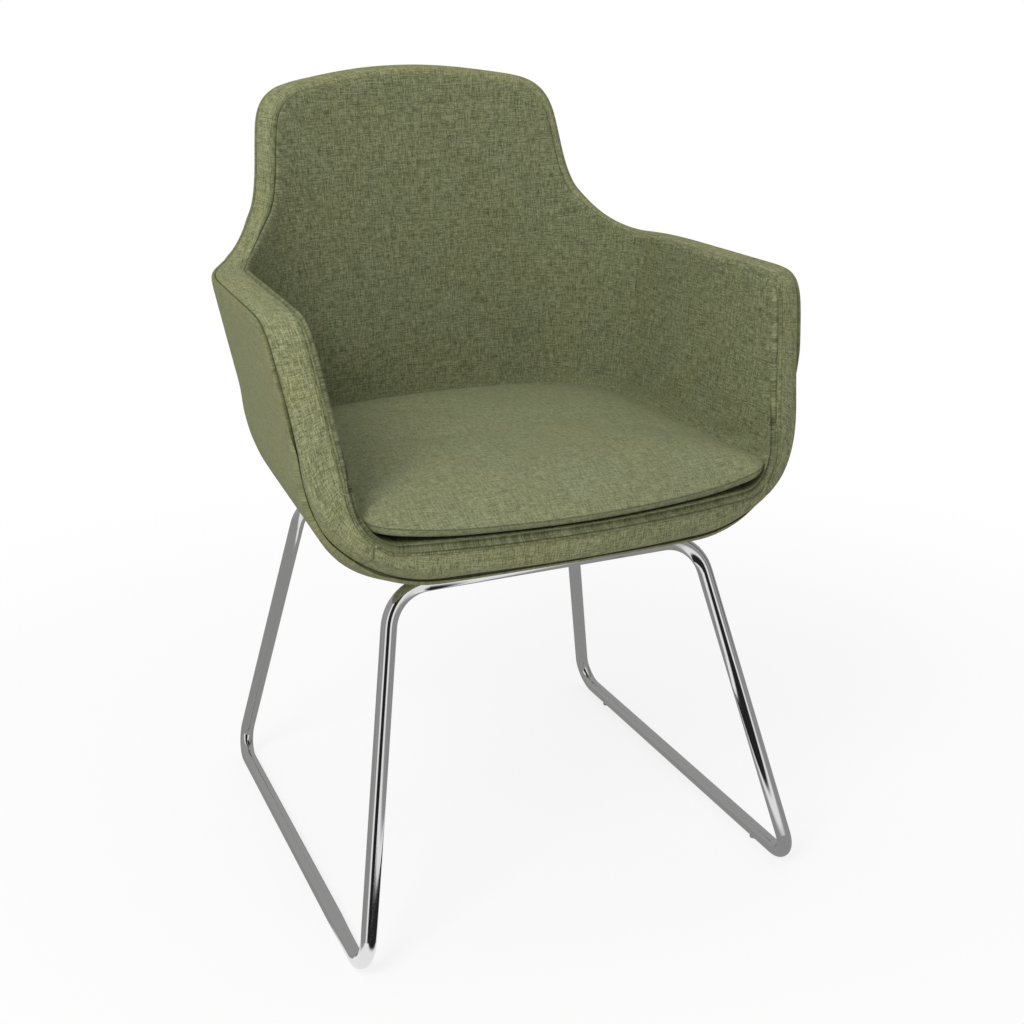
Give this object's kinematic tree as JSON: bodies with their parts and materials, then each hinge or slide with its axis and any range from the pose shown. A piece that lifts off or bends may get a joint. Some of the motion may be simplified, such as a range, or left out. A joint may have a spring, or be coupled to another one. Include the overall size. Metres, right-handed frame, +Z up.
{
  "type": "sled base visitor chair",
  "caption": "Upholstered bucket armchair with a loose seat cushion on a chromed bent-tube sled base, for visitor and meeting rooms.",
  "frame": {"origin": "middle of the chair's footprint on the floor", "axes": "+Z up, the sitter faces -Y, +X to the right of someone looking at the front"},
  "size_m": [0.5468, 0.5288, 0.835],
  "materials": {
    "chrome_tube": "bright chrome plate on round steel tube",
    "chrome_plate": "chrome plate over ground welds",
    "glide_plastic": "satin moulded plastic",
    "zinc_steel": "bright zinc",
    "plywood": "sanded birch plywood",
    "shell_plastic": "moulded, unfinished",
    "foam": "open-cell foam",
    "green_fabric": "woven melange upholstery, two-tone threads",
    "cushion_fabric": "woven melange upholstery, two-tone threads",
    "black_cloth": "spun-bonded lining cloth",
    "hook_tape": "hook and loop tape",
    "zip_tape": "coil zip on woven tape"
  },
  "bodies": {
    "chair": {"sled_tube": "chrome_tube", "glide_front_left": "glide_plastic", "glide_front_right": "glide_plastic", "glide_rear_left": "glide_plastic", "glide_rear_right": "glide_plastic", "mounting_plate_1": "chrome_plate", "mounting_plate_2": "chrome_plate", "mounting_plate_3": "chrome_plate", "mounting_plate_4": "chrome_plate", "frame_screws": "zinc_steel", "frame_washers": "zinc_steel", "tee_nuts": "zinc_steel", "seat_board": "plywood", "board_screws": "zinc_steel", "inner_shell": "shell_plastic", "outer_foam": "foam", "back_foam": "foam", "deck_foam": "foam", "rim_foam": "foam", "outside_cover": "green_fabric", "inside_cover": "green_fabric", "deck_cover": "green_fabric", "edge_band": "green_fabric", "front_band": "green_fabric", "bottom_cloth": "black_cloth", "staples": "zinc_steel", "hook_strips": "hook_tape"},
    "seat_cushion": {"cushion_foam": "foam", "cushion_top": "cushion_fabric", "cushion_boxing": "cushion_fabric", "cushion_bottom": "cushion_fabric", "cushion_zip": "zip_tape", "loop_strips": "hook_tape"}
  },
  "joints": [
    {"name": "cushion_lift", "type": "slide", "parent": "chair", "child": "seat_cushion", "axis": [0, 0, 1], "range_m": [0, 0.1]}
  ]
}
